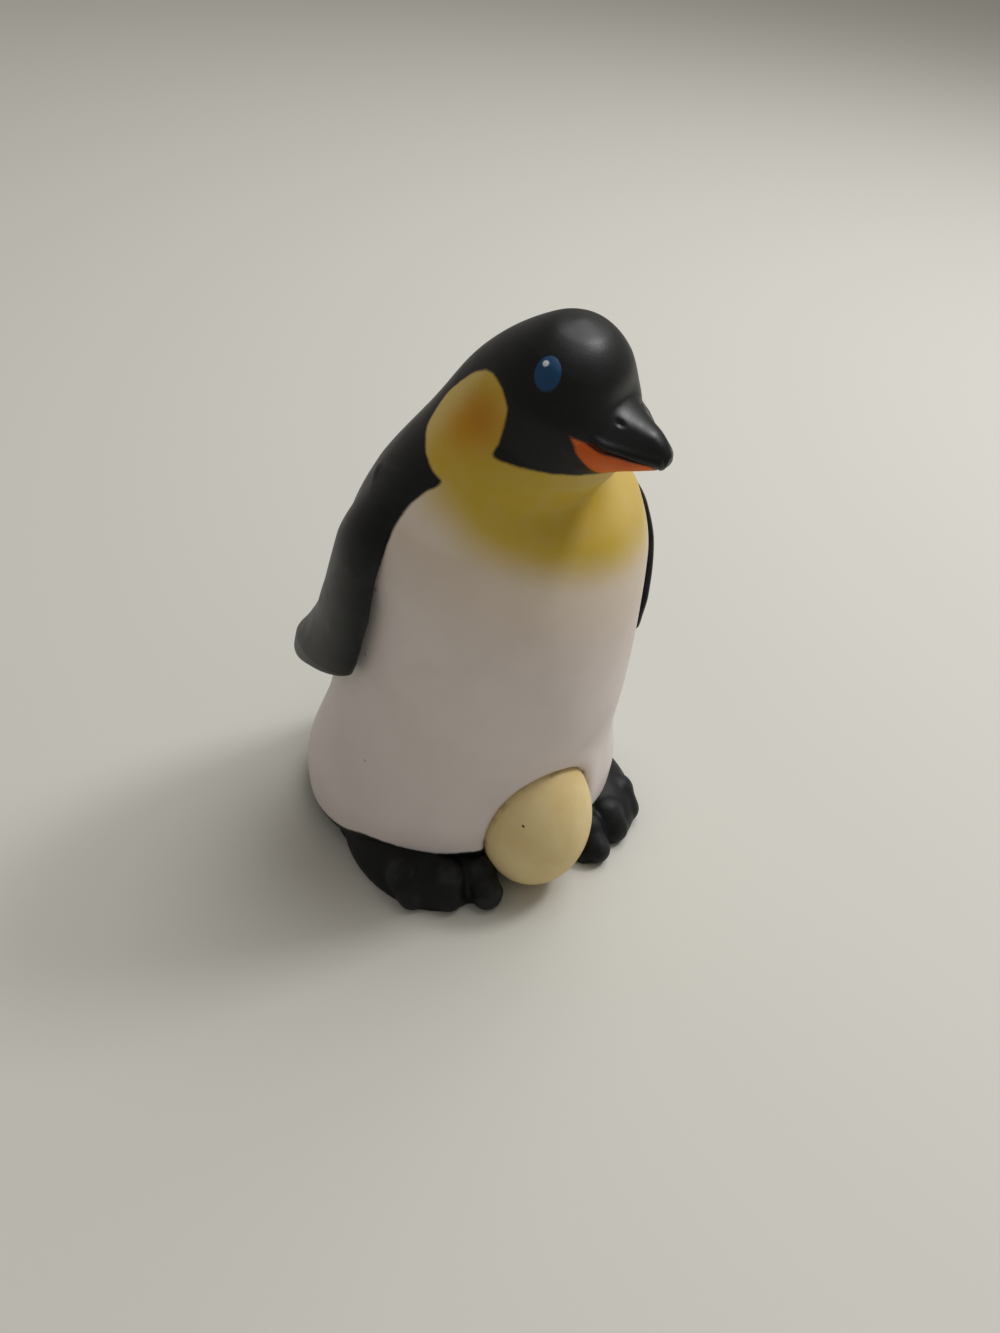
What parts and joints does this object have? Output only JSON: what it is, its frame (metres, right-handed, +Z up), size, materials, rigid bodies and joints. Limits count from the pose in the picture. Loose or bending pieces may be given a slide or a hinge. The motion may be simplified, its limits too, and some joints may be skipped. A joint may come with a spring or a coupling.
{
  "type": "toy penguin figure",
  "caption": "Hollow soft-vinyl toy penguin that stands upright with its head turned to its left and holds a cream egg on its feet against its belly.",
  "frame": {"origin": "on the ground under the middle of the figure's box", "axes": "+Z up, the body faces -Y, the figure's left is +X"},
  "size_m": [0.0582, 0.0672, 0.0921],
  "materials": {
    "body_vinyl": "satin white vinyl with a painted black hood and back, yellow throat and amber ear patches",
    "plug_vinyl": "plain matt black vinyl",
    "bill_black": "black paint with a soft gloss",
    "bill_orange": "satin orange paint",
    "eye_blue": "glossy dark blue paint with a white glint",
    "flipper_black": "satin black vinyl",
    "foot_black": "satin black vinyl",
    "egg_cream": "satin cream paint with small dark specks"
  },
  "bodies": {
    "root": {"body_shell": "body_vinyl", "base_plug": "plug_vinyl", "upper_bill": "bill_black", "lower_bill": "bill_orange", "right_eye": "eye_blue", "left_eye": "eye_blue", "right_flipper": "flipper_black", "left_flipper": "flipper_black", "right_foot": "foot_black", "left_foot": "foot_black", "egg": "egg_cream"}
  },
  "joints": []
}
